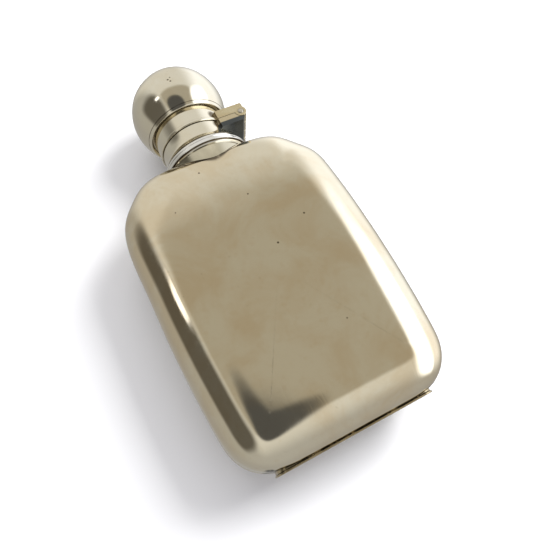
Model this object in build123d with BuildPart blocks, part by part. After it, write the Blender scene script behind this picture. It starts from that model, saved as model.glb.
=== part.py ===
"""Hip flask with a hinged ball cap.

Frame: millimetres, +Z up along the flask, X across its width with the cap's hinge on the +X side,
and Y through its thickness with the front panel towards -Y. The origin is the middle of the foot's
lower edge. The cap is drawn closed, with its quarter-turn lock open.
"""
import os
from math import sqrt

from build123d import *

# Body
BODY_WIDTH = 66.0
BODY_DEPTH = 28.0
BODY_BOTTOM = 0.5
BODY_TOP = 89.5
SIDE_BOW = 2.9
TOP_BOW = 0.3
TOP_CORNER_RADIUS = 17.0
BOTTOM_CORNER_RADIUS = 12.5
EDGE_RADIUS = 10.0
WALL = 0.8

# Foot
FOOT_LENGTH = 44.8
FOOT_DEPTH = 10.0
FOOT_CORNER_RADIUS = 2.5
FOOT_LIP = 0.35
FOOT_LIP_HEIGHT = 0.5
FOOT_REACH = 5.0

# Neck, below the parting line between the neck and the cap
PARTING = 98.4
PARTING_GAP = 0.16
MOUTH_BORE_RADIUS = 7.4
MOUTH_RADIUS = 8.2
MOUTH_BOTTOM = 85.5
MOUTH_RISE = 5.0
MOUTH_LIP_ROUNDING = 0.25
COLLAR_RADIUS = 13.95
COLLAR_RIM_BOTTOM = 88.9
COLLAR_RIM_TOP = 91.2
COLLAR_TOP = 94.9
COLLAR_BORE_RADIUS = 10.8
SKIRT_RADIUS = 12.9
SKIRT_BOTTOM = 80.0
COVE_DEPTH = 0.55
NECK_RADIUS = 11.3
NECK_FOOT_RADIUS = 11.8
NECK_FLARE_TOP = 97.0
FLARE_DEPTH = 0.1
NECK_WALL = 1.0
NECK_FLANGE = 0.8

# Quarter-turn lock
RAMP_RADIUS = 8.75
RAMP_BOTTOM = 2.4
RAMP_TOP = 3.7
RAMP_ARC = 70.0
LUG_BOTTOM = 0.9
LUG_TOP = 2.1
LUG_WIDTH = 6.0
LUG_FACE = 8.35

# Cap
CAP_RING_RADIUS = 11.5
CAP_RING_TOP = 104.15
BEAD_RADIUS = 11.9
BEAD_HEIGHT = 1.1
SLEEVE_RADIUS = 10.1
SLEEVE_BORE_RADIUS = 9.4
SLEEVE_BOTTOM = 98.7
SLEEVE_RUNNING_GAP = 0.08
RETAINER_RADIUS = 10.7
RETAINER_BOTTOM = 98.75
RETAINER_HEIGHT = 0.7
RETAINER_GAP = 0.1
BALL_RADIUS = 14.96
BALL_CENTRE = 112.34
BALL_BOTTOM = 104.3
BALL_WALL = 0.7
FLOOR_HEIGHT = 0.6
CORK_RADIUS = 9.05
CORK_HEIGHT = 2.9
CORK_GAP = 0.15
CORK_CUP_DEPTH = 2.1
CORK_CUP_BASE = 0.5

# Hinge
HINGE_X = 15.2
HINGE_LENGTH = 19.6
KNUCKLE_COUNT = 5
KNUCKLE_RADIUS = 1.8
KNUCKLE_CLEARANCE = 0.2
KNUCKLE_END_GAP = 0.1
PIN_RADIUS = 0.9
PIN_RUNNING_GAP = 0.05
PIN_PROUD = 0.15
LOWER_LEAF_BOTTOM = 95.1
UPPER_LEAF_TOP = 101.3
LEAF_ROOT = 5.0
LOWER_LEAF_HEEL = 14.7
LOWER_LEAF_SHOULDER = 97.5
LEAF_END = 16.4
LEAF_CHAMFER = 0.4

NECK_TOP = PARTING - PARTING_GAP / 2
CAP_BOTTOM = PARTING + PARTING_GAP / 2
MOUTH_TOP = PARTING + MOUTH_RISE
CORK_BOTTOM = MOUTH_TOP + CORK_GAP
CORK_TOP = CORK_BOTTOM + CORK_HEIGHT
KNUCKLE_PITCH = HINGE_LENGTH / KNUCKLE_COUNT
HINGE_PLANE = Plane((HINGE_X, 0, PARTING), x_dir=(1, 0, 0), z_dir=(0, -1, 0))


def pebble(inset):
    """The body's rounded form: its outside, or its inside when inset by the wall."""
    half_width = BODY_WIDTH / 2 - inset
    corner_x = half_width - SIDE_BOW
    bottom = BODY_BOTTOM + inset
    top = BODY_TOP - inset
    middle = (bottom + top) / 2
    with BuildPart() as form:
        with BuildSketch(Plane.XZ) as outline:
            with BuildLine():
                Line((-corner_x, bottom), (corner_x, bottom))
                ThreePointArc((corner_x, bottom), (half_width, middle), (corner_x, top - TOP_BOW))
                ThreePointArc((corner_x, top - TOP_BOW), (0, top), (-corner_x, top - TOP_BOW))
                ThreePointArc((-corner_x, top - TOP_BOW), (-half_width, middle), (-corner_x, bottom))
            make_face()
            corners = outline.vertices().group_by(Axis.Z)
            fillet(corners[0], BOTTOM_CORNER_RADIUS - inset)
            corners = outline.vertices().filter_by_position(Axis.Z, top - TOP_BOW - inset, top)
            fillet(corners, TOP_CORNER_RADIUS - inset)
        extrude(amount=BODY_DEPTH / 2 - inset, both=True)
        panels = form.faces().filter_by(Axis.Y)
        fillet(panels.edges(), EDGE_RADIUS - inset)
    return form.part


def ring(outer, inner, low, high):
    """A plain round band about the flask's axis."""
    with BuildPart() as band:
        with BuildSketch(Plane.XY.offset(low)):
            Circle(outer)
            Circle(inner, mode=Mode.SUBTRACT)
        extrude(amount=high - low)
    return band.part


def knuckles(radius, numbers, end_gap=0.0):
    """Cylinders about the hinge axis at the given knuckle numbers, counted from the front."""
    with BuildPart() as row:
        for number in numbers:
            start = HINGE_LENGTH / 2 - number * KNUCKLE_PITCH - end_gap / 2
            with BuildSketch(HINGE_PLANE.offset(start)):
                Circle(radius)
            extrude(amount=end_gap - KNUCKLE_PITCH)
    return row.part


UPPER_KNUCKLES = range(0, KNUCKLE_COUNT, 2)
LOWER_KNUCKLES = range(1, KNUCKLE_COUNT, 2)
SADDLE_RADIUS = KNUCKLE_RADIUS + KNUCKLE_CLEARANCE

OUTSIDE = pebble(0)
INSIDE = pebble(WALL)

# Body: two half shells that meet on the mid-plane
with BuildPart() as front_shell:
    add(OUTSIDE)
    add(INSIDE, mode=Mode.SUBTRACT)
    with BuildSketch(Plane.XY.offset(MOUTH_BOTTOM)):
        Circle(MOUTH_RADIUS)
    extrude(amount=MOUTH_RISE, mode=Mode.SUBTRACT)
    split(bisect_by=Plane.XZ, keep=Keep.TOP)
front_shell.part.label = "front_shell"

with BuildPart() as back_shell:
    add(front_shell.part)
    mirror(about=Plane.XZ, mode=Mode.REPLACE)
back_shell.part.label = "back_shell"

# Foot: a narrow oblong band with a lip along its lower edge, fitted to the body's underside
with BuildPart() as foot_rim:
    with BuildSketch():
        RectangleRounded(FOOT_LENGTH, FOOT_DEPTH, FOOT_CORNER_RADIUS)
        RectangleRounded(
            FOOT_LENGTH - 2 * WALL, FOOT_DEPTH - 2 * WALL, FOOT_CORNER_RADIUS - WALL, mode=Mode.SUBTRACT
        )
    extrude(amount=FOOT_REACH)
    with BuildSketch():
        RectangleRounded(
            FOOT_LENGTH + 2 * FOOT_LIP, FOOT_DEPTH + 2 * FOOT_LIP, FOOT_CORNER_RADIUS + FOOT_LIP
        )
        RectangleRounded(
            FOOT_LENGTH - 2 * WALL, FOOT_DEPTH - 2 * WALL, FOOT_CORNER_RADIUS - WALL, mode=Mode.SUBTRACT
        )
    extrude(amount=FOOT_LIP_HEIGHT)
    add(OUTSIDE, mode=Mode.SUBTRACT)
foot_rim.part.label = "foot_rim"

# Neck: a rimmed, coved collar that overhangs the shoulders, a band, and the mouth inside the cap
with BuildPart() as neck_collar:
    with BuildSketch(Plane.XZ):
        with BuildLine():
            Polyline(
                (NECK_FOOT_RADIUS, COLLAR_TOP),
                (COLLAR_BORE_RADIUS, COLLAR_TOP),
                (COLLAR_BORE_RADIUS, SKIRT_BOTTOM),
                (SKIRT_RADIUS, SKIRT_BOTTOM),
                (SKIRT_RADIUS, COLLAR_RIM_BOTTOM),
                (COLLAR_RADIUS, COLLAR_RIM_BOTTOM),
                (COLLAR_RADIUS, COLLAR_RIM_TOP),
            )
            cove_x = (COLLAR_RADIUS + NECK_FOOT_RADIUS) / 2 - COVE_DEPTH
            cove_z = (COLLAR_RIM_TOP + COLLAR_TOP) / 2 - COVE_DEPTH
            ThreePointArc((COLLAR_RADIUS, COLLAR_RIM_TOP), (cove_x, cove_z), (NECK_FOOT_RADIUS, COLLAR_TOP))
        make_face()
    revolve(axis=Axis.Z)
    add(OUTSIDE, mode=Mode.SUBTRACT)
neck_collar.part.label = "neck_collar"

with BuildPart() as neck_ring:
    with BuildSketch(Plane.XZ):
        with BuildLine():
            Polyline(
                (NECK_RADIUS, NECK_FLARE_TOP),
                (NECK_RADIUS, NECK_TOP),
                (MOUTH_RADIUS, NECK_TOP),
                (MOUTH_RADIUS, NECK_TOP - NECK_FLANGE),
                (NECK_RADIUS - NECK_WALL, NECK_TOP - NECK_FLANGE),
                (NECK_RADIUS - NECK_WALL, COLLAR_TOP),
                (NECK_FOOT_RADIUS, COLLAR_TOP),
            )
            flare_x = (NECK_RADIUS + NECK_FOOT_RADIUS) / 2 - FLARE_DEPTH
            flare_z = (NECK_FLARE_TOP + COLLAR_TOP) / 2
            ThreePointArc((NECK_FOOT_RADIUS, COLLAR_TOP), (flare_x, flare_z), (NECK_RADIUS, NECK_FLARE_TOP))
        make_face()
    revolve(axis=Axis.Z)
neck_ring.part.label = "neck_ring"

with BuildPart() as mouth_tube:
    add(ring(MOUTH_RADIUS, MOUTH_BORE_RADIUS, MOUTH_BOTTOM, MOUTH_TOP))
    rim = mouth_tube.faces().sort_by(Axis.Z)[-1]
    fillet(rim.edges(), MOUTH_LIP_ROUNDING)
mouth_tube.part.label = "mouth_tube"

with BuildPart() as mouth_ramps:
    with BuildSketch(Plane.XZ):
        with Locations(((MOUTH_RADIUS + RAMP_RADIUS) / 2, PARTING + (RAMP_BOTTOM + RAMP_TOP) / 2)):
            Rectangle(RAMP_RADIUS - MOUTH_RADIUS, RAMP_TOP - RAMP_BOTTOM)
    revolve(axis=Axis.Z, revolution_arc=RAMP_ARC)
    turned = mouth_ramps.part.rotate(Axis.Z, -RAMP_ARC / 2)
    add(turned, mode=Mode.REPLACE)
    mirror(about=Plane.YZ)
mouth_ramps.part.label = "mouth_ramps"

# Hinge: the lower leaf stands on the neck band, the upper leaf on the cap ring
with BuildPart() as lower_leaf:
    with BuildSketch(Plane.XZ):
        with BuildLine():
            Polyline(
                (LEAF_ROOT, LOWER_LEAF_BOTTOM),
                (LOWER_LEAF_HEEL, LOWER_LEAF_BOTTOM),
                (LEAF_END, LOWER_LEAF_SHOULDER),
                (LEAF_END, NECK_TOP),
                (LEAF_ROOT, NECK_TOP),
                close=True,
            )
        make_face()
    extrude(amount=HINGE_LENGTH / 2, both=True)
    add(knuckles(SADDLE_RADIUS, UPPER_KNUCKLES, -KNUCKLE_END_GAP), mode=Mode.SUBTRACT)
    add(knuckles(KNUCKLE_RADIUS, LOWER_KNUCKLES, KNUCKLE_END_GAP))
    add(knuckles(PIN_RADIUS, range(KNUCKLE_COUNT)), mode=Mode.SUBTRACT)
    with BuildSketch(Plane.XY.offset(LOWER_LEAF_BOTTOM)):
        Circle(NECK_RADIUS)
    extrude(amount=PARTING - LOWER_LEAF_BOTTOM, mode=Mode.SUBTRACT)
    add(neck_ring.part, mode=Mode.SUBTRACT)
lower_leaf.part.label = "lower_leaf"

with BuildPart() as upper_leaf:
    with BuildSketch(Plane.XZ):
        with BuildLine():
            Polyline(
                (LEAF_ROOT, CAP_BOTTOM),
                (LEAF_END, CAP_BOTTOM),
                (LEAF_END, UPPER_LEAF_TOP - LEAF_CHAMFER),
                (LEAF_END - LEAF_CHAMFER, UPPER_LEAF_TOP),
                (LEAF_ROOT, UPPER_LEAF_TOP),
                close=True,
            )
        make_face()
    extrude(amount=HINGE_LENGTH / 2, both=True)
    add(knuckles(SADDLE_RADIUS, LOWER_KNUCKLES, -KNUCKLE_END_GAP), mode=Mode.SUBTRACT)
    add(knuckles(KNUCKLE_RADIUS, UPPER_KNUCKLES, KNUCKLE_END_GAP))
    add(knuckles(PIN_RADIUS + PIN_RUNNING_GAP, range(KNUCKLE_COUNT)), mode=Mode.SUBTRACT)
    with BuildSketch(Plane.XY.offset(PARTING)):
        Circle(CAP_RING_RADIUS)
    extrude(amount=UPPER_LEAF_TOP - PARTING, mode=Mode.SUBTRACT)
upper_leaf.part.label = "upper_leaf"

with BuildPart() as hinge_pin:
    with BuildSketch(HINGE_PLANE.offset(-HINGE_LENGTH / 2 - PIN_PROUD)):
        Circle(PIN_RADIUS)
    extrude(amount=HINGE_LENGTH + 2 * PIN_PROUD)
hinge_pin.part.label = "hinge_pin"

# Cap ring: swings on the hinge, and the ball's sleeve turns inside it
with BuildPart() as cap_ring:
    add(ring(CAP_RING_RADIUS, SLEEVE_RADIUS + SLEEVE_RUNNING_GAP, CAP_BOTTOM, CAP_RING_TOP))
    recess_top = RETAINER_BOTTOM + RETAINER_HEIGHT + RETAINER_GAP
    add(ring(RETAINER_RADIUS + RETAINER_GAP, SLEEVE_RADIUS, CAP_BOTTOM, recess_top), mode=Mode.SUBTRACT)
cap_ring.part.label = "cap_ring"

with BuildPart() as cap_bead:
    with BuildSketch(Plane.XZ):
        with BuildLine():
            Line((CAP_RING_RADIUS, CAP_BOTTOM), (CAP_RING_RADIUS, CAP_BOTTOM + BEAD_HEIGHT))
            ThreePointArc(
                (CAP_RING_RADIUS, CAP_BOTTOM + BEAD_HEIGHT),
                (BEAD_RADIUS, CAP_BOTTOM + BEAD_HEIGHT / 2),
                (CAP_RING_RADIUS, CAP_BOTTOM),
            )
        make_face()
    revolve(axis=Axis.Z)
    add(upper_leaf.part, mode=Mode.SUBTRACT)
cap_bead.part.label = "cap_bead"

# Ball: a hollow dome and its floor, on a sleeve that reaches down over the mouth
with BuildPart() as ball_dome:
    inner_radius = BALL_RADIUS - BALL_WALL
    drop = BALL_CENTRE - BALL_BOTTOM
    rim_outer = sqrt(BALL_RADIUS**2 - drop**2)
    rim_inner = sqrt(inner_radius**2 - drop**2)
    with BuildSketch(Plane.XZ):
        with BuildLine():
            Line((rim_inner, BALL_BOTTOM), (rim_outer, BALL_BOTTOM))
            ThreePointArc(
                (rim_outer, BALL_BOTTOM), (BALL_RADIUS, BALL_CENTRE), (0, BALL_CENTRE + BALL_RADIUS)
            )
            Line((0, BALL_CENTRE + BALL_RADIUS), (0, BALL_CENTRE + inner_radius))
            ThreePointArc(
                (0, BALL_CENTRE + inner_radius), (inner_radius, BALL_CENTRE), (rim_inner, BALL_BOTTOM)
            )
        make_face()
    revolve(axis=Axis.Z)
ball_dome.part.label = "ball_dome"

with BuildPart() as ball_floor:
    add(ring(rim_inner, SLEEVE_RADIUS, BALL_BOTTOM, BALL_BOTTOM + FLOOR_HEIGHT))
ball_floor.part.label = "ball_floor"

with BuildPart() as cap_sleeve:
    add(ring(SLEEVE_RADIUS, SLEEVE_BORE_RADIUS, SLEEVE_BOTTOM, BALL_BOTTOM + FLOOR_HEIGHT))
cap_sleeve.part.label = "cap_sleeve"

with BuildPart() as sleeve_lugs:
    with BuildSketch(Plane.XY.offset(PARTING + LUG_BOTTOM)):
        Circle(SLEEVE_BORE_RADIUS)
        Rectangle(LUG_WIDTH, 2 * SLEEVE_BORE_RADIUS, mode=Mode.INTERSECT)
        Rectangle(LUG_WIDTH, 2 * LUG_FACE, mode=Mode.SUBTRACT)
    extrude(amount=LUG_TOP - LUG_BOTTOM)
sleeve_lugs.part.label = "sleeve_lugs"

with BuildPart() as retaining_ring:
    add(ring(RETAINER_RADIUS, SLEEVE_RADIUS, RETAINER_BOTTOM, RETAINER_BOTTOM + RETAINER_HEIGHT))
retaining_ring.part.label = "retaining_ring"

with BuildPart() as cork_cup:
    add(ring(SLEEVE_BORE_RADIUS, CORK_RADIUS, CORK_TOP - CORK_CUP_DEPTH, CORK_TOP))
    with BuildSketch(Plane.XY.offset(CORK_TOP)):
        Circle(SLEEVE_BORE_RADIUS)
    extrude(amount=CORK_CUP_BASE)
cork_cup.part.label = "cork_cup"

with BuildPart() as cork_disc:
    with BuildSketch(Plane.XY.offset(CORK_BOTTOM)):
        Circle(CORK_RADIUS)
    extrude(amount=CORK_HEIGHT)
cork_disc.part.label = "cork_disc"

PIECES = [
    front_shell,
    back_shell,
    foot_rim,
    neck_collar,
    neck_ring,
    mouth_tube,
    mouth_ramps,
    lower_leaf,
    hinge_pin,
    upper_leaf,
    cap_ring,
    cap_bead,
    ball_dome,
    ball_floor,
    cap_sleeve,
    sleeve_lugs,
    retaining_ring,
    cork_cup,
    cork_disc,
]

os.makedirs("parts", exist_ok=True)
for piece in PIECES:
    export_step(piece.part, f"parts/{piece.part.label}.step")
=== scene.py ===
"""The looks of a hip flask with a hinged ball cap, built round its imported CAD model.

Sizes below are in millimetres and become metres when a mesh is made. The frame is the CAD model's:
+Z up along the flask, +X towards the cap's hinge, -Y towards the front panel.
"""

import math

import bmesh
import bpy
import numpy as np
from mathutils import Matrix, Vector, noise


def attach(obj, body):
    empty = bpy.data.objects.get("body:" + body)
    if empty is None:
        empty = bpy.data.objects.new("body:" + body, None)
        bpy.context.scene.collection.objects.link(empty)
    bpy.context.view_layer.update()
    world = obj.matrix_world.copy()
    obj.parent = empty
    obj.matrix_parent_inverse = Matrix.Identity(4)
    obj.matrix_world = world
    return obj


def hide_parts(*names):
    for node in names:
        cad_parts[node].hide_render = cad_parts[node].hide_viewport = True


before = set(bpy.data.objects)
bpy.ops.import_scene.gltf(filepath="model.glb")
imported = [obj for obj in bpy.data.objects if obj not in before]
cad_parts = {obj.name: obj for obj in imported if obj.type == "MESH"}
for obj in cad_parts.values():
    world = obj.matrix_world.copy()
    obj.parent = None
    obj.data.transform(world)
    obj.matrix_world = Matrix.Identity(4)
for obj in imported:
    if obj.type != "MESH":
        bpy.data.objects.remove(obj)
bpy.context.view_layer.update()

MM = 0.001

# Body
BODY_WIDTH = 66.0
BODY_BOTTOM = 0.5
BODY_TOP = 89.5
BODY_MIDDLE = (BODY_BOTTOM + BODY_TOP) / 2
SIDE_BOW = 2.9
TOP_BOW = 0.3
TOP_CORNER_RADIUS = 17.0
BOTTOM_CORNER_RADIUS = 12.5
HALF_DEPTH = 13.98
SIDE_FLAT = 3.6
PANEL_CROWN = 0.5
WALL = 0.8
EDGE_POWER = 2.2

FOOT_LENGTH = 44.8
FOOT_DEPTH = 10.0
FOOT_CORNER_RADIUS = 2.5

# Neck, cap and ball
PARTING = 98.4
MOUTH_TOP = 103.4
BALL_LIP = 104.42
BALL_RADIUS = 14.96
BALL_CENTRE = 112.34


# ---------------------------------------------------------------- meshes
def new_object(name, vertices, faces):
    """A smooth-shaded mesh object from millimetre points."""
    mesh = bpy.data.meshes.new(name)
    mesh.from_pydata([tuple(c * MM for c in v) for v in vertices], [], faces)
    mesh.update()
    mesh.shade_smooth()
    item = bpy.data.objects.new(name, mesh)
    bpy.context.scene.collection.objects.link(item)
    return item


def place(item, body, slot, material, *nodes):
    """Gives a piece its body and material, and hides the CAD nodes that it stands for; the slot naming its finish is
    not used.
    """
    item.data.materials.clear()
    item.data.materials.append(material)
    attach(item, body)
    if nodes:
        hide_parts(*nodes)
    return item


def rounded(points, radius=0.12, steps=4):
    """A closed (r, z) outline with each corner turned into a small arc, with support points beside it."""
    out = []
    count = len(points)
    for i in range(count):
        before, here, after = (Vector(points[(i + k) % count]) for k in (-1, 0, 1))
        if here.x < 1e-6:
            out.append(tuple(here))
            continue
        to_before, to_after = before - here, after - here
        turn = to_before.angle(to_after)
        if turn > math.radians(160):
            out.append(tuple(here))
            continue
        reach = min(radius, to_before.length * 0.4, to_after.length * 0.4)
        to_before.normalize()
        to_after.normalize()
        start, end = here + to_before * reach, here + to_after * reach
        out.append(tuple(start + to_before * reach * 0.3))
        for k in range(steps + 1):
            t = k / steps
            out.append(tuple(start * (1 - t) ** 2 + here * 2 * t * (1 - t) + end * t**2))
        out.append(tuple(end + to_after * reach * 0.3))
    return out


def lathe(name, outline, segments=180, wobble=0.0):
    """A body of revolution from a closed (r, z) outline, which may touch the axis at its ends."""
    vertices, faces, rings = [], [], []
    for r, z in outline:
        if r < 1e-6:
            rings.append([len(vertices)])
            vertices.append((0, 0, z))
            continue
        rings.append(range(len(vertices), len(vertices) + segments))
        for k in range(segments):
            a = 2 * math.pi * k / segments
            p = Vector((r * math.cos(a), r * math.sin(a), z))
            if wobble:
                out = Vector((p.x, p.y, 0)).normalized()
                p += out * wobble * noise.noise(p * 0.12)
            vertices.append(tuple(p))
    pairs = list(zip(rings, rings[1:] + rings[:1]))
    for low, high in pairs:
        if len(low) == 1 and len(high) == 1:
            continue
        for k in range(segments):
            n = (k + 1) % segments
            if len(low) == 1:
                faces.append((low[0], high[n], high[k]))
            elif len(high) == 1:
                faces.append((low[k], low[n], high[0]))
            else:
                faces.append((low[k], low[n], high[n], high[k]))
    item = new_object(name, vertices, faces)
    face_outward(item)
    return item


def face_outward(item):
    """Makes a closed mesh's normals point out."""
    mesh = bmesh.new()
    mesh.from_mesh(item.data)
    bmesh.ops.recalc_face_normals(mesh, faces=mesh.faces)
    mesh.to_mesh(item.data)
    mesh.free()
    item.data.shade_smooth()


def cut(item, cutter, operation="DIFFERENCE"):
    """Applies a boolean with the cutter to the piece, and removes the cutter."""
    step = item.modifiers.new("cut", "BOOLEAN")
    step.operation = operation
    step.solver = "EXACT"
    step.object = cutter
    graph = bpy.context.evaluated_depsgraph_get()
    done = bpy.data.meshes.new_from_object(item.evaluated_get(graph))
    item.modifiers.clear()
    item.data = done
    bpy.data.objects.remove(cutter)
    return item


# ---------------------------------------------------------------- body shells
def side_arc():
    """The circle that the right side's bow lies on, as its centre's x and its radius."""
    half = BODY_WIDTH / 2
    rise = BODY_MIDDLE - BODY_BOTTOM
    radius = (rise**2 + SIDE_BOW**2) / (2 * SIDE_BOW)
    return half - radius, radius


def body_outline(count=420):
    """The body's outline at its mid-plane, evenly spaced, with softened joins between its arcs."""
    centre_x, radius = side_arc()

    def corner(corner_radius, edge, sign):
        z = edge - sign * corner_radius
        x = centre_x + math.sqrt((radius - corner_radius) ** 2 - (z - BODY_MIDDLE) ** 2)
        start = math.atan2(z - BODY_MIDDLE, x - centre_x)
        turn = np.linspace(start, sign * math.pi / 2, 60)
        return np.stack([x + corner_radius * np.cos(turn), z + corner_radius * np.sin(turn)], 1)

    low = corner(BOTTOM_CORNER_RADIUS, BODY_BOTTOM, -1)
    high = corner(TOP_CORNER_RADIUS, BODY_TOP - TOP_BOW / 2, 1)
    rise = np.linspace(low[0, 1], high[0, 1], 90)[1:-1]
    side = np.stack([centre_x + np.sqrt(radius**2 - (rise - BODY_MIDDLE) ** 2), rise], 1)
    right = np.concatenate([low[::-1], side, high])
    loop = np.concatenate([right, right[::-1] * [-1, 1]])
    loop = np.vstack([loop, loop[:1]])
    along = np.r_[0, np.cumsum(np.linalg.norm(np.diff(loop, axis=0), axis=1))]
    even = np.linspace(0, along[-1], count, endpoint=False)
    points = np.stack([np.interp(even, along, loop[:, 0]), np.interp(even, along, loop[:, 1])], 1)
    reach = int(round(2.6 / (along[-1] / count)))
    weights = np.exp(-0.5 * (np.arange(-3 * reach, 3 * reach + 1) / reach) ** 2)
    weights /= weights.sum()
    wrapped = np.concatenate([points[-3 * reach :], points, points[: 3 * reach]])
    return np.stack([np.convolve(wrapped[:, k], weights, "valid") for k in (0, 1)], 1)


def near(points, x, z, width):
    """A smooth bump, 1 at (x, z) and falling off over the given width."""
    return np.exp(-(((points[:, 0] - x) ** 2 + (points[:, 1] - z) ** 2) / width**2))


def body_grid():
    """Points of the body's front half from the mid-plane to the panel's centre, one row per ring."""
    loop = body_outline()
    tangent = np.roll(loop, -2, 0) - np.roll(loop, 2, 0)
    tangent /= np.linalg.norm(tangent, axis=1)[:, None]
    inward = np.stack([-tangent[:, 1], tangent[:, 0]], 1)
    # hand-worn shape: the shoulders are a little fuller and their corners cut
    shift = 1.2 * near(loop, 28.2, 84.2, 6.5) + 0.7 * near(loop, -28.2, 84.2, 6.0)
    shift -= 0.6 * near(loop, -32.0, 69.0, 9.0)
    loop = loop + inward * shift[:, None]
    edge = 12.7 - 3.6 * near(loop, 0, BODY_TOP, 14.0) + 0.6 * near(loop, 28, 84, 9.0)
    rows = []
    for b in np.linspace(0, math.pi / 2, 44):
        inset = edge * (1 - math.cos(b) ** (2 / EDGE_POWER))
        rows.append((loop + inward * inset[:, None], math.sin(b) ** (2 / EDGE_POWER)))
    rim = rows[-1][0]
    for t in np.linspace(0, 1, 46)[1:]:
        inner = rim.copy()
        inner[:, 0] *= 1 - t
        inner[:, 1] = BODY_MIDDLE + (inner[:, 1] - BODY_MIDDLE) * (1 - t)
        rows.append((inner, 1.0))
    return rows


def half_shell(name, sign):
    """One half of the body: an outer and an inner skin joined along the mid-plane."""
    grid = []
    for flat, lift in body_grid():
        row = []
        for x, z in flat:
            spread = min(1.25, (x / 33) ** 2 + ((z - BODY_MIDDLE) / 44.5) ** 2)
            depth = SIDE_FLAT + lift * (HALF_DEPTH - SIDE_FLAT - PANEL_CROWN * spread)
            if lift == 0:
                depth = 0.0
            row.append((x, depth, z))
        grid.append(row)
    base = list(grid[0])
    wall = [[(x, SIDE_FLAT * t, z) for x, y, z in base] for t in (0.0, 0.35, 0.7)]
    rows = wall + [[(x, max(y, SIDE_FLAT), z) for x, y, z in grid[0]]] + grid[1:-1]
    count = len(rows[0])
    points = np.array(rows)
    tip = np.array([0.0, HALF_DEPTH, BODY_MIDDLE])
    # normals, for the inner skin and the waves
    along = np.roll(points, -1, 1) - np.roll(points, 1, 1)
    across = np.gradient(points, axis=0)
    normal = np.cross(across, along)
    normal /= np.linalg.norm(normal, axis=2)[..., None]
    outward = points - np.array([0, 0, BODY_MIDDLE])
    normal *= np.where((normal * outward).sum(2) < 0, -1, 1)[..., None]
    seed = Vector((3.1, 7.7 * sign, 1.3))
    for i in range(points.shape[0]):
        calm = min(1.0, i / 6)
        for k in range(count):
            p = Vector(points[i, k])
            wave = noise.noise(p * 0.045 + seed) * 0.10 + noise.noise(p * 0.13 + seed * 2) * 0.022
            points[i, k] += normal[i, k] * (min(wave - 0.06, 0.0) * calm)
    inner = points - normal * WALL
    inner[0, :, 1] = 0.0
    points[:, :, 1] *= sign
    inner[:, :, 1] *= sign
    tip[1] *= sign
    vertices = [tuple(p) for p in points.reshape(-1, 3)] + [tuple(tip - [0, 0.03 * sign, 0])]
    shift = len(vertices)
    vertices += [tuple(p) for p in inner.reshape(-1, 3)]
    vertices += [tuple(tip - [0, (WALL + 0.03) * sign, 0])]
    faces = []
    levels = points.shape[0]
    for offset in (0, shift):
        for i in range(levels - 1):
            for k in range(count):
                n = (k + 1) % count
                a, b = offset + i * count, offset + (i + 1) * count
                faces.append((a + k, a + n, b + n, b + k))
        top = offset + (levels - 1) * count
        for k in range(count):
            faces.append((top + k, top + (k + 1) % count, offset + levels * count))
    for k in range(count):
        n = (k + 1) % count
        faces.append((k, n, shift + n, shift + k))
    item = new_object(name, vertices, faces)
    face_outward(item)
    cutter = lathe("mouth_cutter", [(0, 80), (8.15, 80), (8.15, 96), (0, 96)], 96)
    return cut(item, cutter)


# ---------------------------------------------------------------- materials
class Nodes:
    """Short hand for building a node tree."""

    def __init__(self, tree):
        self.tree = tree
        tree.nodes.clear()

    def add(self, kind, _inputs=None, **settings):
        node = self.tree.nodes.new(kind)
        for key, value in settings.items():
            setattr(node, key, value)
        for key, value in (_inputs or {}).items():
            if isinstance(value, bpy.types.NodeSocket):
                self.tree.links.new(value, node.inputs[key])
            else:
                node.inputs[key].default_value = value
        return node

    def math(self, operation, a, b=0.0):
        return self.add("ShaderNodeMath", {0: a, 1: b}, operation=operation).outputs[0]

    def mix(self, factor, a, b):
        node = self.tree.nodes.new("ShaderNodeMix")
        node.data_type = "RGBA"
        for key, value in ((0, factor), (6, a), (7, b)):
            if isinstance(value, bpy.types.NodeSocket):
                self.tree.links.new(value, node.inputs[key])
            elif key == 0:
                node.inputs[key].default_value = value
            else:
                node.inputs[key].default_value = (*value, 1.0)
        return node.outputs[2]

    def noise(self, coords, scale, detail=4.0, rough=0.5, distortion=0.0):
        node = self.add(
            "ShaderNodeTexNoise",
            {"Vector": coords, "Scale": scale, "Detail": detail, "Roughness": rough, "Distortion": distortion},
        )
        return node.outputs["Fac"]

    def ramp(self, value, low, high, out_low=0.0, out_high=1.0):
        node = self.add("ShaderNodeMapRange", {0: value, 1: low, 2: high, 3: out_low, 4: out_high})
        node.interpolation_type = "SMOOTHSTEP"
        return node.outputs[0]


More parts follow.
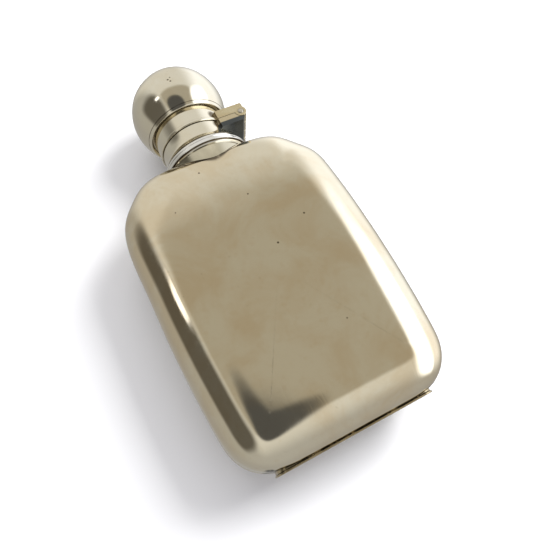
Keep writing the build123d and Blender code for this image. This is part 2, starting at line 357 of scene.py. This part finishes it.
def metal(
    name, bright, dull, dark, rough, scratch=0.12, cloud=0.5, specks=0.3, pits_and_shade_spots=(), low_shade=(), shade_lines=(), shade_below=(), ring=0
):
    """Worn plated metal: clouded colour, specks, fine scratches, single dark pit marks and painted shade.

    A pit mark is (x, y, z, radius), as is a spot of painted shade. Painted shade fills the space below a height
    and within a depth of the mid-plane, given as (height, depth). A line of painted shade is (height, half its width).
    Painted shade below a height is (height, colour) and covers all below it. A ring is the radius about the flask's
    axis within which its top gets broken painted shade.
    """
    material = bpy.data.materials.new(name)
    material.use_nodes = True
    n = Nodes(material.node_tree)
    coords = n.add("ShaderNodeTexCoord").outputs["Object"]
    clouds = n.ramp(n.noise(coords, 55, 5, 0.55, 0.6), 0.38, 0.66)
    fine = n.noise(coords, 420, 6, 0.62)
    spots = n.ramp(n.noise(coords, 900, 3, 0.6), 0.70, 0.78)
    colour = n.mix(n.math("MULTIPLY", clouds, cloud), bright, dull)
    colour = n.mix(n.math("MULTIPLY", n.ramp(fine, 0.52, 0.75), 0.25), colour, dull)
    colour = n.mix(n.math("MULTIPLY", spots, specks), colour, dark)
    # dark pit marks, and round spots of painted shade in recesses
    for x, y, z, radius in pits_and_shade_spots:
        spot = tuple(c * MM for c in (x, y, z))
        gap = n.add("ShaderNodeVectorMath", {0: coords, 1: spot}, operation="DISTANCE").outputs["Value"]
        colour = n.mix(n.ramp(gap, radius * MM, radius * 0.5 * MM), colour, dark)
    # painted shade below a height: everything lower takes the given darker colour, clouded
    if shade_below:
        parts = n.add("ShaderNodeSeparateXYZ", {0: coords})
        below = n.ramp(parts.outputs[2], (shade_below[0] + 0.1) * MM, (shade_below[0] - 0.1) * MM)
        colour = n.mix(below, colour, n.mix(clouds, shade_below[1], tuple(0.7 * c for c in shade_below[1])))
    # a broken ring of painted shade on the top, within the radius round the axis
    if ring:
        parts = n.add("ShaderNodeSeparateXYZ", {0: coords})
        flat = n.add("ShaderNodeCombineXYZ", {0: parts.outputs[0], 1: parts.outputs[1]}).outputs[0]
        away = n.add("ShaderNodeVectorMath", {0: flat}, operation="LENGTH").outputs["Value"]
        ring_breakup = n.ramp(n.noise(coords, 300, 4, 0.6), 0.30, 0.5, 0.5, 1.0)
        mask = n.math("MULTIPLY", n.ramp(away, (ring + 0.35) * MM, ring * MM), ring_breakup)
        colour = n.mix(n.math("MULTIPLY", mask, n.ramp(parts.outputs[2], 0.075, 0.080)), colour, dark)
    # painted shade low down near the mid-plane, broken up
    if low_shade:
        height, depth = low_shade
        parts = n.add("ShaderNodeSeparateXYZ", {0: coords})
        low = n.ramp(parts.outputs[2], (height + 0.7) * MM, height * MM)
        inside = n.ramp(n.math("ABSOLUTE", parts.outputs[1]), (depth + 0.7) * MM, depth * MM)
        broken = n.ramp(n.noise(coords, 420, 4, 0.6), 0.36, 0.5)
        colour = n.mix(n.math("MULTIPLY", n.math("MULTIPLY", low, inside), broken), colour, (0.03, 0.026, 0.02))
    # broken lines of painted shade along joins
    for level, width in shade_lines:
        parts = n.add("ShaderNodeSeparateXYZ", {0: coords})
        away = n.math("ABSOLUTE", n.math("SUBTRACT", parts.outputs[2], level * MM))
        patchy = n.ramp(n.noise(coords, 300, 4, 0.6), 0.30, 0.5, 0.35, 1.0)
        mask = n.math("MULTIPLY", n.ramp(away, width * MM, width * 0.5 * MM), patchy)
        colour = n.mix(mask, colour, dark)
    smear = n.noise(coords, 30, 3, 0.5, 1.2)
    roughness = n.math("ADD", n.math("MULTIPLY", n.ramp(smear, 0.3, 0.7), rough[1] - rough[0]), rough[0])
    roughness = n.math("ADD", roughness, n.math("MULTIPLY", fine, 0.05))
    scratches = []
    for turn, seed in ((0.4, 0.0), (-0.9, 0.31), (1.3, 0.77)):
        grain = n.add(
            "ShaderNodeMapping",
            {"Vector": coords, "Location": (seed, seed, seed), "Rotation": (0, turn, turn), "Scale": (420, 55, 40)},
        ).outputs[0]
        level = n.math("ABSOLUTE", n.math("SUBTRACT", n.noise(grain, 1.0, 1, 0.4), 0.5))
        where = n.ramp(n.noise(coords, 70 + 40 * seed, 2, 0.5), 0.50, 0.60)
        scratches.append(n.math("MULTIPLY", n.ramp(level, 0.018, 0.0), where))
    marks = n.math("MAXIMUM", n.math("MAXIMUM", scratches[0], scratches[1]), scratches[2])
    ripple = n.math("MULTIPLY", n.noise(coords, 260, 3, 0.5), 0.35)
    height = n.math("SUBTRACT", ripple, n.math("MULTIPLY", marks, scratch))
    bump = n.add("ShaderNodeBump", {"Height": height, "Strength": 0.10, "Distance": 0.0001})
    shader = n.add(
        "ShaderNodeBsdfPrincipled",
        {"Base Color": colour, "Metallic": 1.0, "Roughness": roughness, "Normal": bump.outputs[0]},
    )
    out = n.add("ShaderNodeOutputMaterial")
    n.tree.links.new(shader.outputs[0], out.inputs[0])
    return material


def cork_material():
    """Pressed cork with darker grains and pitted cells."""
    material = bpy.data.materials.new("cork")
    material.use_nodes = True
    n = Nodes(material.node_tree)
    coords = n.add("ShaderNodeTexCoord").outputs["Object"]
    cells = n.add("ShaderNodeTexVoronoi", {"Vector": coords, "Scale": 700}, feature="F1").outputs[0]
    grain = n.noise(coords, 500, 5, 0.6)
    colour = n.mix(grain, (0.50, 0.32, 0.17), (0.33, 0.19, 0.09))
    colour = n.mix(n.ramp(cells, 0.45, 0.7), colour, (0.14, 0.07, 0.03))
    bump = n.add("ShaderNodeBump", {"Height": grain, "Strength": 0.6, "Distance": 0.0003})
    shader = n.add(
        "ShaderNodeBsdfPrincipled", {"Base Color": colour, "Roughness": 0.85, "Normal": bump.outputs[0]}
    )
    out = n.add("ShaderNodeOutputMaterial")
    n.tree.links.new(shader.outputs[0], out.inputs[0])
    return material


PLATE = metal(
    "plated_body",
    (0.86, 0.80, 0.66),
    (0.76, 0.62, 0.42),
    (0.16, 0.13, 0.09),
    (0.05, 0.10),
    cloud=0.6,
    pits_and_shade_spots=[
        (-6.6, -13.7, 80.1, 0.35),
        (3.2, -13.8, 51.2, 0.42),
        (13.9, -13.7, 56.3, 0.38),
        (-17.5, -13.6, 71.0, 0.25),
        (2.7, -13.8, 68.2, 0.30),
        (9.1, -13.7, 25.0, 0.25),
    ],
    # painted shade under the body round the foot
    low_shade=(2.2, 6.0),
    # a ring of painted shade on the body's top round the collar's foot
    ring=13.2,
)
FITTING = metal(
    "plated_fittings",
    (0.86, 0.82, 0.71),
    (0.80, 0.72, 0.56),
    (0.16, 0.13, 0.09),
    (0.05, 0.10),
    cloud=0.5,
    pits_and_shade_spots=[
        (-1.6, -14.8, 114.0, 0.42),
        (-1.1, -14.9, 113.1, 0.38),
        (-0.7, -14.8, 114.7, 0.34),
        # the last two are spots of painted shade where the hinge leaves meet the neck
        (7.0, -9.2, 100.6, 2.2),
        (7.0, -9.2, 97.0, 2.2),
    ],
    # lines of painted shade under the ball's lip, in the cap's parting and where the neck meets the collar
    shade_lines=[(105.3, 0.12), (98.4, 0.12), (91.7, 0.3)],
)
# a lighter, cooler copy of the fittings' plate: a painted sheen
COLLAR = metal(
    "collar_painted_light",
    (0.93, 0.93, 0.94),
    (0.84, 0.81, 0.74),
    (0.16, 0.13, 0.09),
    (0.06, 0.12),
    cloud=0.5,
    # a line of painted shade under the rim's step
    shade_lines=[(88.95, 0.12)],
    # painted shade and reflection: the skirt below the rim is darker and warmer
    shade_below=(88.75, (0.82, 0.76, 0.60)),
)
FOOT = metal(
    "foot_metal", (0.62, 0.53, 0.36), (0.36, 0.29, 0.18), (0.06, 0.05, 0.035), (0.14, 0.28), cloud=0.9, specks=0.8
)
HINGE = metal("hinge_metal", (0.80, 0.72, 0.52), (0.68, 0.56, 0.34), (0.20, 0.15, 0.08), (0.22, 0.34), cloud=0.7)
LOWER = metal(
    "hinge_lower",
    (0.80, 0.72, 0.54),
    (0.68, 0.57, 0.38),
    (0.10, 0.09, 0.08),
    (0.18, 0.30),
    cloud=0.7,
    # painted shade and reflection: the lower leaf is dark slate below 96.7 mm
    shade_below=(96.7, (0.15, 0.165, 0.175)),
)
PIN = metal("pin_metal", (0.72, 0.68, 0.60), (0.60, 0.54, 0.44), (0.18, 0.15, 0.11), (0.22, 0.34))
INNER = metal(
    "inner_metal", (0.74, 0.69, 0.57), (0.62, 0.53, 0.38), (0.16, 0.12, 0.08), (0.24, 0.40), cloud=0.8, specks=0.6
)
CORK = cork_material()

# ---------------------------------------------------------------- pieces
place(half_shell("body_front", -1), "flask", "plated_body", PLATE, "front_shell")
place(half_shell("body_back", 1), "flask", "plated_body", PLATE, "back_shell")


def oblong(length, depth, radius, count=18):
    """Points round an oblong with rounded corners, in the XY plane."""
    out = []
    for cx, cy, start in ((1, 1, 0), (-1, 1, 90), (-1, -1, 180), (1, -1, 270)):
        for k in range(count + 1):
            a = math.radians(start + 90 * k / count)
            x = cx * (length / 2 - radius) + radius * math.cos(a)
            y = cy * (depth / 2 - radius) + radius * math.sin(a)
            out.append((x, y))
    # even out the long runs
    loop = out + out[:1]
    fine = []
    for a, b in zip(loop, loop[1:]):
        run = math.hypot(b[0] - a[0], b[1] - a[1])
        steps = max(1, int(run / 0.6))
        fine += [(a[0] + (b[0] - a[0]) * t / steps, a[1] + (b[1] - a[1]) * t / steps) for t in range(steps)]
    return fine


def foot():
    """The foot: a thin band with a lip along its lower edge."""
    section = rounded([(10.0, 1.5), (9.2, 1.5), (9.2, 0.0), (10.35, 0.0), (10.35, 0.45), (10.0, 0.6)], 0.12, 3)
    base = oblong(FOOT_LENGTH, FOOT_DEPTH, FOOT_CORNER_RADIUS)
    vertices, faces = [], []
    count = len(base)
    nudge = []
    for k in range(count):
        a, b = Vector(base[k - 1]), Vector(base[(k + 1) % count])
        t = (b - a).normalized()
        nudge.append((t.y, -t.x))
    for s, z in section:
        for k in range(count):
            x, y = base[k]
            d = s - 10.0
            d += 0.06 * noise.noise(Vector((x * 0.3, y * 0.3, 5)))
            lift = 0.05 * noise.noise(Vector((x * 0.25, y * 0.25, 9)))
            vertices.append((x + nudge[k][0] * d, y + nudge[k][1] * d, max(0.0, z + (lift if z > 0.2 else 0))))
    levels = len(section)
    for i in range(levels):
        for k in range(count):
            n = (k + 1) % count
            a, b = i * count, (i + 1) % levels * count
            faces.append((a + k, a + n, b + n, b + k))
    item = new_object("foot_band", vertices, faces)
    face_outward(item)
    return item


place(foot(), "flask", "plated_body", FOOT, "foot_rim")


def arc(centre, radius, start, end, steps):
    """Points of a circular arc in the (r, z) plane, from start to end in degrees."""
    turn = [math.radians(start + (end - start) * k / steps) for k in range(steps + 1)]
    return [(centre[0] + radius * math.cos(a), centre[1] + radius * math.sin(a)) for a in turn]


def bezier(a, b, c, d, steps=20):
    """Points of a cubic curve from a to d, in the (r, z) plane."""
    out = []
    for k in range(steps + 1):
        t = k / steps
        u = 1 - t
        weights = (u**3, 3 * u * u * t, 3 * u * t * t, t**3)
        out.append(tuple(sum(w * p[i] for w, p in zip(weights, (a, b, c, d))) for i in (0, 1)))
    return out


collar = [(12.0, 91.2), (12.0, 80.5), (12.9, 80.5), (12.9, 88.3), (13.05, 88.65), (13.35, 88.88)]
collar += [(13.8, 88.92), (13.93, 89.02), (13.93, 89.25)]
collar += [(13.75, 90.15), (13.62, 90.24), (13.76, 90.36), (13.6, 91.05), (13.1, 91.62)]
place(lathe("collar", rounded(collar, 0.12)), "flask", "plated_fittings", COLLAR, "neck_collar")
neck = [(10.3, 94.9), (12.2, 91.3)] + bezier((13.15, 91.7), (11.9, 93.0), (11.3, 94.4), (11.3, 97.4))
neck += [(11.3, 98.32), (8.2, 98.32), (8.2, 97.5), (10.3, 97.5)]
place(lathe("neck_band", rounded(neck, 0.12), wobble=0.05), "flask", "plated_fittings", FITTING, "neck_ring")
mouth = [(7.4, 85.5), (8.2, 85.5), (8.2, MOUTH_TOP), (7.4, MOUTH_TOP)]
place(lathe("mouth", rounded(mouth, 0.25)), "flask", "inner_metal", INNER, "mouth_tube")

cap_band = [(10.8, 98.48), (11.5, 98.48), (11.5, 105.25), (10.18, 105.25), (10.18, 99.55), (10.8, 99.55)]
place(lathe("cap_band", rounded(cap_band, 0.12), wobble=0.05), "lid", "plated_fittings", FITTING, "cap_ring")

bead = [(11.2, 98.5), (11.76, 98.5), (11.76, 99.5), (11.2, 99.5)]
place(lathe("bead", rounded(bead, 0.3, 6)), "lid", "plated_fittings", FITTING, "cap_bead")


def ball():
    """The hollow ball with a turned-in lower edge."""
    low = math.degrees(math.asin((BALL_LIP - BALL_CENTRE) / BALL_RADIUS))
    outer = arc((0, BALL_CENTRE), BALL_RADIUS, low, 90, 110)
    outer[-1] = (0.0, BALL_CENTRE + BALL_RADIUS)
    lip = [(11.75, 105.4), (12.05, 105.02), (12.36, 104.58), (12.45, 104.45), (12.53, 104.37), (12.62, 104.35)]
    outer = lip + outer
    inner = BALL_RADIUS - 0.7
    low = math.degrees(math.asin((105.9 - BALL_CENTRE) / inner))
    skin = arc((0, BALL_CENTRE), inner, 90, low, 60)
    skin[0] = (0.0, BALL_CENTRE + inner)
    return outer + skin


item = lathe("ball", ball(), 240)
for v in item.data.vertices:
    p = Vector(v.co) / MM - Vector((0, 0, BALL_CENTRE))
    if p.length > BALL_RADIUS - 0.2:
        wave = min(0.0, noise.noise(p * 0.11) * 0.16 - 0.06)
        # a small dent low on the right
        wave -= 0.09 * math.exp(-((p - Vector((9.1, -11.3, -3.6))).length_squared) / 1.3**2)
        v.co += Vector(p).normalized() * wave * MM
place(item, "ball", "plated_fittings", FITTING, "ball_dome")

floor_plate = [(10.0, 105.4), (11.8, 105.4), (12.6, 105.8), (10.0, 105.8)]
place(lathe("ball_base", rounded(floor_plate, 0.1)), "ball", "inner_metal", INNER, "ball_floor")
sleeve = [(9.4, 98.7), (10.1, 98.7), (10.1, 105.6), (9.4, 105.6)]
place(lathe("sleeve", rounded(sleeve, 0.15)), "ball", "inner_metal", INNER, "cap_sleeve")
retainer = [(10.1, 98.75), (10.7, 98.75), (10.7, 99.45), (10.1, 99.45)]
place(lathe("retainer", rounded(retainer, 0.12)), "ball", "inner_metal", INNER, "retaining_ring")
cup = [(0, 106.45), (9.05, 106.45), (9.05, 104.35), (9.4, 104.35), (9.4, 106.95), (0, 106.95)]
place(lathe("cork_holder", rounded(cup, 0.08)), "ball", "inner_metal", INNER, "cork_cup")
disc = [(0, 103.55), (9.05, 103.55), (9.05, 106.45), (0, 106.45)]
place(lathe("cork", rounded(disc, 0.3)), "ball", "cork", CORK, "cork_disc")

# Hinge
HINGE_X = 15.2
HINGE_HALF = 9.8
KNUCKLES = 5
PITCH = 2 * HINGE_HALF / KNUCKLES


def prism(name, outline, low, high):
    """A solid with an (x, z) outline, drawn out along Y."""
    count = len(outline)
    vertices = [(x, low, z) for x, z in outline] + [(x, high, z) for x, z in outline]
    faces = [tuple(range(count)), tuple(range(2 * count - 1, count - 1, -1))]
    faces += [(k, (k + 1) % count, count + (k + 1) % count, count + k) for k in range(count)]
    item = new_object(name, vertices, faces)
    face_outward(item)
    return item


def barrel(name, radius, low, high, edge=0.12, centre=(HINGE_X, PARTING)):
    """A round bar along Y about the hinge axis, with softened ends."""
    item = lathe(name, rounded([(0, low), (radius, low), (radius, high), (0, high)], edge), 48)
    for v in item.data.vertices:
        x, y, z = v.co
        v.co = (x + centre[0] * MM, z, centre[1] * MM - y)
    face_outward(item)
    return item


def leaf(name, outline, mine, band_radius, band_low, band_high):
    """A hinge leaf: a plate with its own knuckles, cleared round the other leaf's and fitted to the neck."""
    plate = prism(name, outline, -HINGE_HALF, HINGE_HALF)
    for number in range(KNUCKLES):
        low = -HINGE_HALF + number * PITCH
        if number in mine:
            cut(plate, barrel("knuckle", 1.8, low + 0.05, low + PITCH - 0.05), "UNION")
        else:
            cut(plate, barrel("clear", 2.0, low - 0.05, low + PITCH + 0.05, 0.01))
    cut(plate, barrel("bore", 0.94, -11, 11, 0.01))
    cut(plate, lathe("band", [(0, band_low), (band_radius, band_low), (band_radius, band_high), (0, band_high)], 180))
    for side in (-1, 1):
        scoop = lathe("scoop", [(0, 90), (1.55, 90), (1.55, 110), (0, 110)], 40)
        for v in scoop.data.vertices:
            v.co.x += 6.2 * MM
            v.co.y += side * 10.3 * MM
        cut(plate, scoop)
    bevel = plate.modifiers.new("edges", "BEVEL")
    bevel.width = 0.13 * MM
    bevel.segments = 2
    bevel.limit_method = "ANGLE"
    bevel.angle_limit = math.radians(40)
    plate.data.shade_smooth()
    plate.data.set_sharp_from_angle(angle=math.radians(35))
    return plate


upper = [(5.0, 98.48), (16.4, 98.48), (16.4, 100.9), (16.0, 101.3), (5.0, 101.3)]
lower = [(5.0, 95.1), (14.7, 95.1), (16.4, 97.5), (16.4, 98.32), (5.0, 98.32)]
place(leaf("leaf_upper", upper, (0, 2, 4), 11.5, 98, 102), "lid", "hinge_metal", HINGE, "upper_leaf")
place(leaf("leaf_lower", lower, (1, 3), 11.4, 94, 99), "flask", "hinge_metal", LOWER, "lower_leaf")
place(barrel("pin", 0.88, -9.93, 9.93, 0.3), "flask", "pin_metal", PIN, "hinge_pin")

for name in ("mouth_ramps", "sleeve_lugs"):
    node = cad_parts[name]
    node.data.materials.clear()
    node.data.materials.append(INNER)
    node.data.shade_smooth()
    node.data.set_sharp_from_angle(angle=math.radians(30))


# ---------------------------------------------------------------- stage, light and camera
def stage_material(name, colour):
    """Plain pale board, seen from its upper side only."""
    material = bpy.data.materials.new(name)
    material.use_nodes = True
    n = Nodes(material.node_tree)
    back = n.add("ShaderNodeNewGeometry").outputs["Backfacing"]
    board = n.add("ShaderNodeBsdfDiffuse", {"Color": colour})
    clear = n.add("ShaderNodeBsdfTransparent")
    pick = n.add("ShaderNodeMixShader", {0: back, 1: board.outputs[0], 2: clear.outputs[0]})
    out = n.add("ShaderNodeOutputMaterial")
    n.tree.links.new(pick.outputs[0], out.inputs[0])
    return material


def board(name, centre, normal, reach, material):
    """A large flat stage piece."""
    normal = Vector(normal).normalized()
    side = normal.orthogonal().normalized()
    other = normal.cross(side)
    centre = Vector(centre)
    corners = [centre + (side * a + other * b) * reach for a, b in ((-1, -1), (1, -1), (1, 1), (-1, 1))]
    mesh = bpy.data.meshes.new(name)
    mesh.from_pydata([tuple(c * MM for c in p) for p in corners], [], [(0, 1, 2, 3)])
    item = bpy.data.objects.new(name, mesh)
    bpy.context.scene.collection.objects.link(item)
    mesh.materials.append(material)
    return item


WHITE = stage_material("stage_white", (0.88, 0.88, 0.89, 1.0))
# the board that the flask lies on: it touches the ball's back and the body's back near the foot
lying = board("table_lying", (0, 14.6, 60), (0, -1, 0.011), 3000, WHITE)
# the board under the flask as it stands, which only cameras above it see
lying.visible_glossy = False
standing = board("table_standing", (0, 0, -0.02), (0, 0, 1), 3000, WHITE)
standing.visible_diffuse = False
standing.visible_glossy = False
standing.visible_shadow = False
standing.visible_transmission = False

world = bpy.data.worlds.new("studio")
bpy.context.scene.world = world
world.use_nodes = True
w = Nodes(world.node_tree)
direction = w.add("ShaderNodeTexCoord").outputs["Generated"]
parts = w.add("ShaderNodeSeparateXYZ", {0: direction})
dx, dy, dz = parts.outputs
# each direction as degrees away from straight ahead of the panel, then right of it and above it
angle = w.math("MULTIPLY", w.math("ARCCOSINE", w.math("MULTIPLY", dy, -1.0)), math.degrees(1))
flat = w.math("SQRT", w.math("ADD", w.math("MULTIPLY", dx, dx), w.math("MULTIPLY", dz, dz)))
scale = w.math("DIVIDE", angle, w.math("MAXIMUM", flat, 0.0001))
east = w.math("MULTIPLY", dx, scale)
north = w.math("MULTIPLY", dz, scale)


def card(under, colour, centre, size, soft=0.3, power=4.0):
    """Lays a soft-edged card, placed in degrees right of and above straight ahead of the panel."""
    across = w.math("DIVIDE", w.math("SUBTRACT", east, centre[0]), size[0])
    up = w.math("DIVIDE", w.math("SUBTRACT", north, centre[1]), size[1])
    across = w.math("POWER", w.math("ABSOLUTE", across), power)
    up = w.math("POWER", w.math("ABSOLUTE", up), power)
    out = w.math("POWER", w.math("ADD", across, up), 1.0 / power)
    return w.mix(w.ramp(out, 1.0 + soft / 2, 1.0 - soft / 2), under, colour)


def half(under, colour, angle_deg, offset, soft):
    """Fills the side of a line beyond offset degrees in the given direction."""
    c, s = math.cos(math.radians(angle_deg)), math.sin(math.radians(angle_deg))
    along = w.math("ADD", w.math("MULTIPLY", east, c), w.math("MULTIPLY", north, s))
    return w.mix(w.ramp(along, offset - soft, offset + soft), under, colour)


# a plain pale studio: brighter on the right, dimmer on the left, below and behind
sky = (0.74, 0.72, 0.66)
sky = half(sky, (1.2, 1.21, 1.22), 0, 42, 14)
sky = half(sky, (0.44, 0.43, 0.39), 180, 42, 14)
sky = half(sky, (0.46, 0.45, 0.42), -90, 55, 25)
sky = w.mix(w.ramp(angle, 94, 134), sky, (0.40, 0.39, 0.37))
# its dim front wall, a dark flag on the left, the camera's stand, a small lamp and the large softbox
sky = card(sky, (0.43, 0.395, 0.315), (2, 4), (34, 28), soft=0.25)
sky = card(sky, (0.12, 0.11, 0.09), (-58, 4), (22, 46), soft=0.5, power=3.0)
sky = card(sky, (0.085, 0.083, 0.078), (-8, -14), (20, 23), soft=0.25, power=2.5)
sky = card(sky, (2.2, 2.2, 2.2), (-40, 24), (5, 3.5), soft=0.6)
sky = card(sky, (1.95, 2.0, 2.05), (53, -20), (21, 46), soft=0.35, power=3.0)
# only reflections see the cards: diffuse light and the camera see an even pale room
plain = (0.86, 0.86, 0.90, 1.0)
path = w.add("ShaderNodeLightPath")
studio = w.add("ShaderNodeBackground", {"Color": sky, "Strength": 1.0})
even = w.add("ShaderNodeBackground", {"Color": plain, "Strength": 0.70})
backdrop = w.add("ShaderNodeBackground", {"Color": plain, "Strength": 1.1})
even = w.add("ShaderNodeMixShader", {0: path.outputs["Is Camera Ray"], 1: even.outputs[0], 2: backdrop.outputs[0]})
blend = w.add("ShaderNodeMixShader", {0: path.outputs["Is Glossy Ray"], 1: even.outputs[0], 2: studio.outputs[0]})
world_out = w.add("ShaderNodeOutputWorld")
w.tree.links.new(blend.outputs[0], world_out.inputs[0])


def area_light(name, spot, aim, size, power, colour):
    """A square soft light, which reflections don't show."""
    data = bpy.data.lights.new(name, "AREA")
    data.size = size
    data.energy = power
    data.color = colour
    item = bpy.data.objects.new(name, data)
    bpy.context.scene.collection.objects.link(item)
    item.location = spot
    item.rotation_euler = (Vector(aim) - Vector(spot)).to_track_quat("-Z", "Y").to_euler()
    item.visible_glossy = False
    return item


area_light("window", (0.75, -0.75, 0.25), (0, 0, 0.05), 0.5, 13.0, (1.0, 1.0, 1.0))
area_light("fill", (0.1, -1.0, 0.9), (0, 0, 0.05), 1.2, 6.0, (1.0, 0.98, 0.95))

# camera: in front of the flask, to its left and level with the foot, looking up along it
RIGHT = Vector((0.88494, -0.07114, -0.46023))
DOWN = Vector((-0.39547, 0.40706, -0.82335))
AHEAD = Vector((0.24592, 0.91063, 0.33209))
turn = Matrix((RIGHT, -DOWN, -AHEAD)).transposed()
lens = bpy.data.cameras.new("camera")
lens.sensor_width = 36.0
lens.lens = 33.943
lens.clip_start = 0.005
lens.clip_end = 20.0
camera = bpy.data.objects.new("camera", lens)
bpy.context.scene.collection.objects.link(camera)
camera.matrix_world = Matrix.Translation(Vector((-34.6036, -135.1152, -1.0)) * MM) @ turn.to_4x4()
bpy.context.scene.camera = camera
bpy.context.scene.view_settings.view_transform = "Standard"
